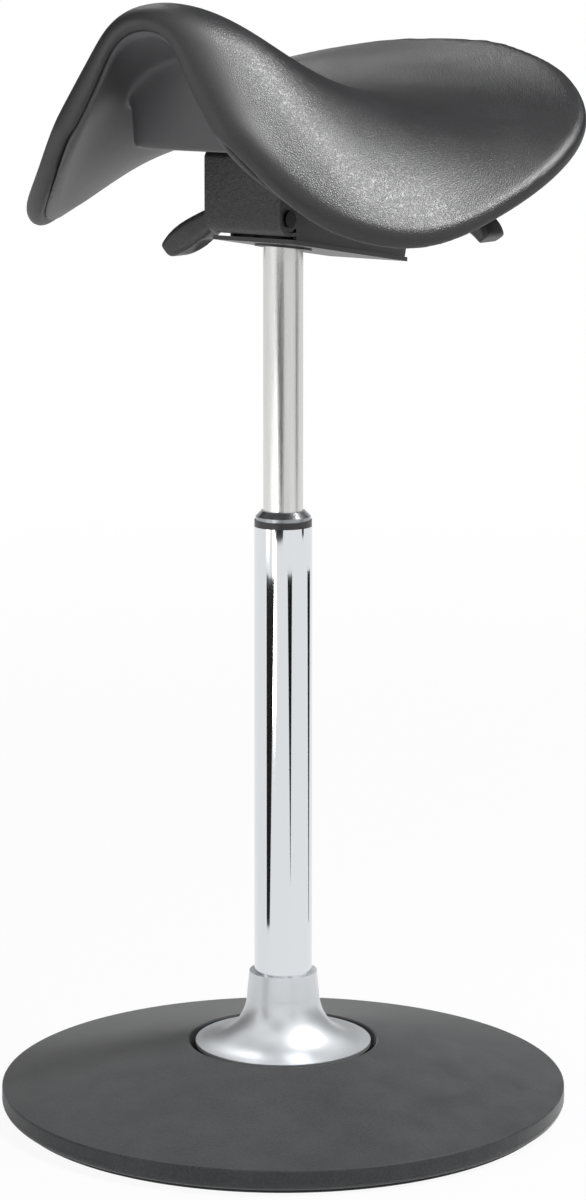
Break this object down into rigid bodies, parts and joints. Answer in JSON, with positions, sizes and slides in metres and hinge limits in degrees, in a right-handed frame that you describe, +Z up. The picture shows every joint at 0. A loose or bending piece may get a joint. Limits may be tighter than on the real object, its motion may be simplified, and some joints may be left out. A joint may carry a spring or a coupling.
{
  "type": "saddle stool",
  "caption": "Saddle stool: grained black saddle on a tilting bracket, gas-lift column with chrome sleeve and polished trumpet foot, weighted grey disc base that lets the column sway",
  "frame": {"origin": "centre of the base disc on the floor", "axes": "+Z up along the column, -Y towards the pommel (the way the sitter faces), +X to the sitter's left"},
  "size_m": [0.4002, 0.4061, 0.7833],
  "materials": {
    "base_rubber": "matt moulded polyurethane over a steel weight",
    "floor_rubber": "matt ribless floor rubber",
    "buffer_rubber": "matt natural rubber",
    "steel_plate": "plain zinc plated steel",
    "bearing_steel": "ground bright steel",
    "chrome_tube": "mirror chrome plating",
    "polished_alloy": "polished die-cast aluminium",
    "ring_alloy": "turned satin aluminium",
    "brushed_tube": "drawn satin steel tube",
    "black_steel": "satin black powder coat",
    "bracket_paint": "wrinkle-grain black powder coat",
    "black_plastic": "satin moulded nylon",
    "shell_plastic": "smooth moulded polypropylene",
    "seat_skin": "fine leather-grain polyurethane skin"
  },
  "bodies": {
    "base": {"base_disc": "base_rubber", "weight_plate": "steel_plate", "disc_screws": "steel_plate", "floor_pad": "floor_rubber", "buffer_base": "steel_plate", "buffer_base_screws": "steel_plate"},
    "buffer": {"sway_buffer": "buffer_rubber"},
    "column": {"buffer_top_plate": "steel_plate", "column_foot": "steel_plate", "foot_screws": "steel_plate", "column_tube": "chrome_tube", "trumpet": "polished_alloy", "guide_bush": "black_plastic", "top_ring": "ring_alloy", "lower_race": "bearing_steel"},
    "rod": {"bearing_balls": "bearing_steel", "bearing_cage": "black_plastic", "upper_race": "bearing_steel", "piston_rod": "bearing_steel", "rod_clip": "bearing_steel", "bump_stop": "buffer_rubber", "piston": "black_plastic"},
    "lift": {"pressure_tube": "brushed_tube", "taper_socket": "black_steel", "mechanism_pan": "black_steel", "pivot_pin": "bearing_steel", "clamp_bolt": "bearing_steel", "clamp_washer": "black_plastic", "lever_clevis": "black_steel", "lever_pin": "bearing_steel"},
    "button": {"release_button": "bearing_steel"},
    "height_lever": {"height_arm": "black_steel", "height_paddle": "black_plastic"},
    "tilt_lever": {"tilt_arm": "black_steel", "tilt_paddle": "black_plastic", "cam_pin": "bearing_steel"},
    "seat": {"tilt_bracket": "bracket_paint", "seat_plate": "black_steel", "seat_bolts": "bearing_steel", "tilt_quadrants": "black_steel", "seat_shell": "shell_plastic", "seat_pad": "seat_skin"}
  },
  "joints": [
    {"name": "sway_side", "type": "hinge", "parent": "base", "child": "buffer", "pos_m": [0, 0, 0.024], "axis": [0, 1, 0], "range_deg": [-5, 5], "stiffness_Nm_per_rad": 280, "deforming": ["sway_buffer"]},
    {"name": "sway_fore_aft", "type": "hinge", "parent": "buffer", "child": "column", "pos_m": [0, 0, 0.024], "axis": [1, 0, 0], "range_deg": [-5, 5], "stiffness_Nm_per_rad": 280, "deforming": ["sway_buffer"]},
    {"name": "seat_swivel", "type": "hinge", "parent": "column", "child": "rod", "pos_m": [0, 0, 0.062], "axis": [0, 0, 1], "continuous": true},
    {"name": "seat_height", "type": "slide", "parent": "rod", "child": "lift", "axis": [0, 0, 1], "range_m": [-0.17, 0]},
    {"name": "button_press", "type": "slide", "parent": "lift", "child": "button", "axis": [0, 0, 1], "range_m": [-0.0038, 0], "stiffness_N_per_m": 400},
    {"name": "height_release", "type": "hinge", "parent": "lift", "child": "height_lever", "pos_m": [-0.042, 0, 0.655], "axis": [0, 1, 0], "range_deg": [0, 5]},
    {"name": "tilt_release", "type": "hinge", "parent": "lift", "child": "tilt_lever", "pos_m": [0.04, 0.072, 0.64], "axis": [0, -1, 0], "range_deg": [0, 12]},
    {"name": "seat_tilt", "type": "hinge", "parent": "lift", "child": "seat", "pos_m": [0, -0.035, 0.635], "axis": [1, 0, 0], "range_deg": [-3, 9]}
  ],
  "couplings": [
    {"joint": "button_press", "follows": "height_release", "m_per_rad": -0.0425}
  ]
}
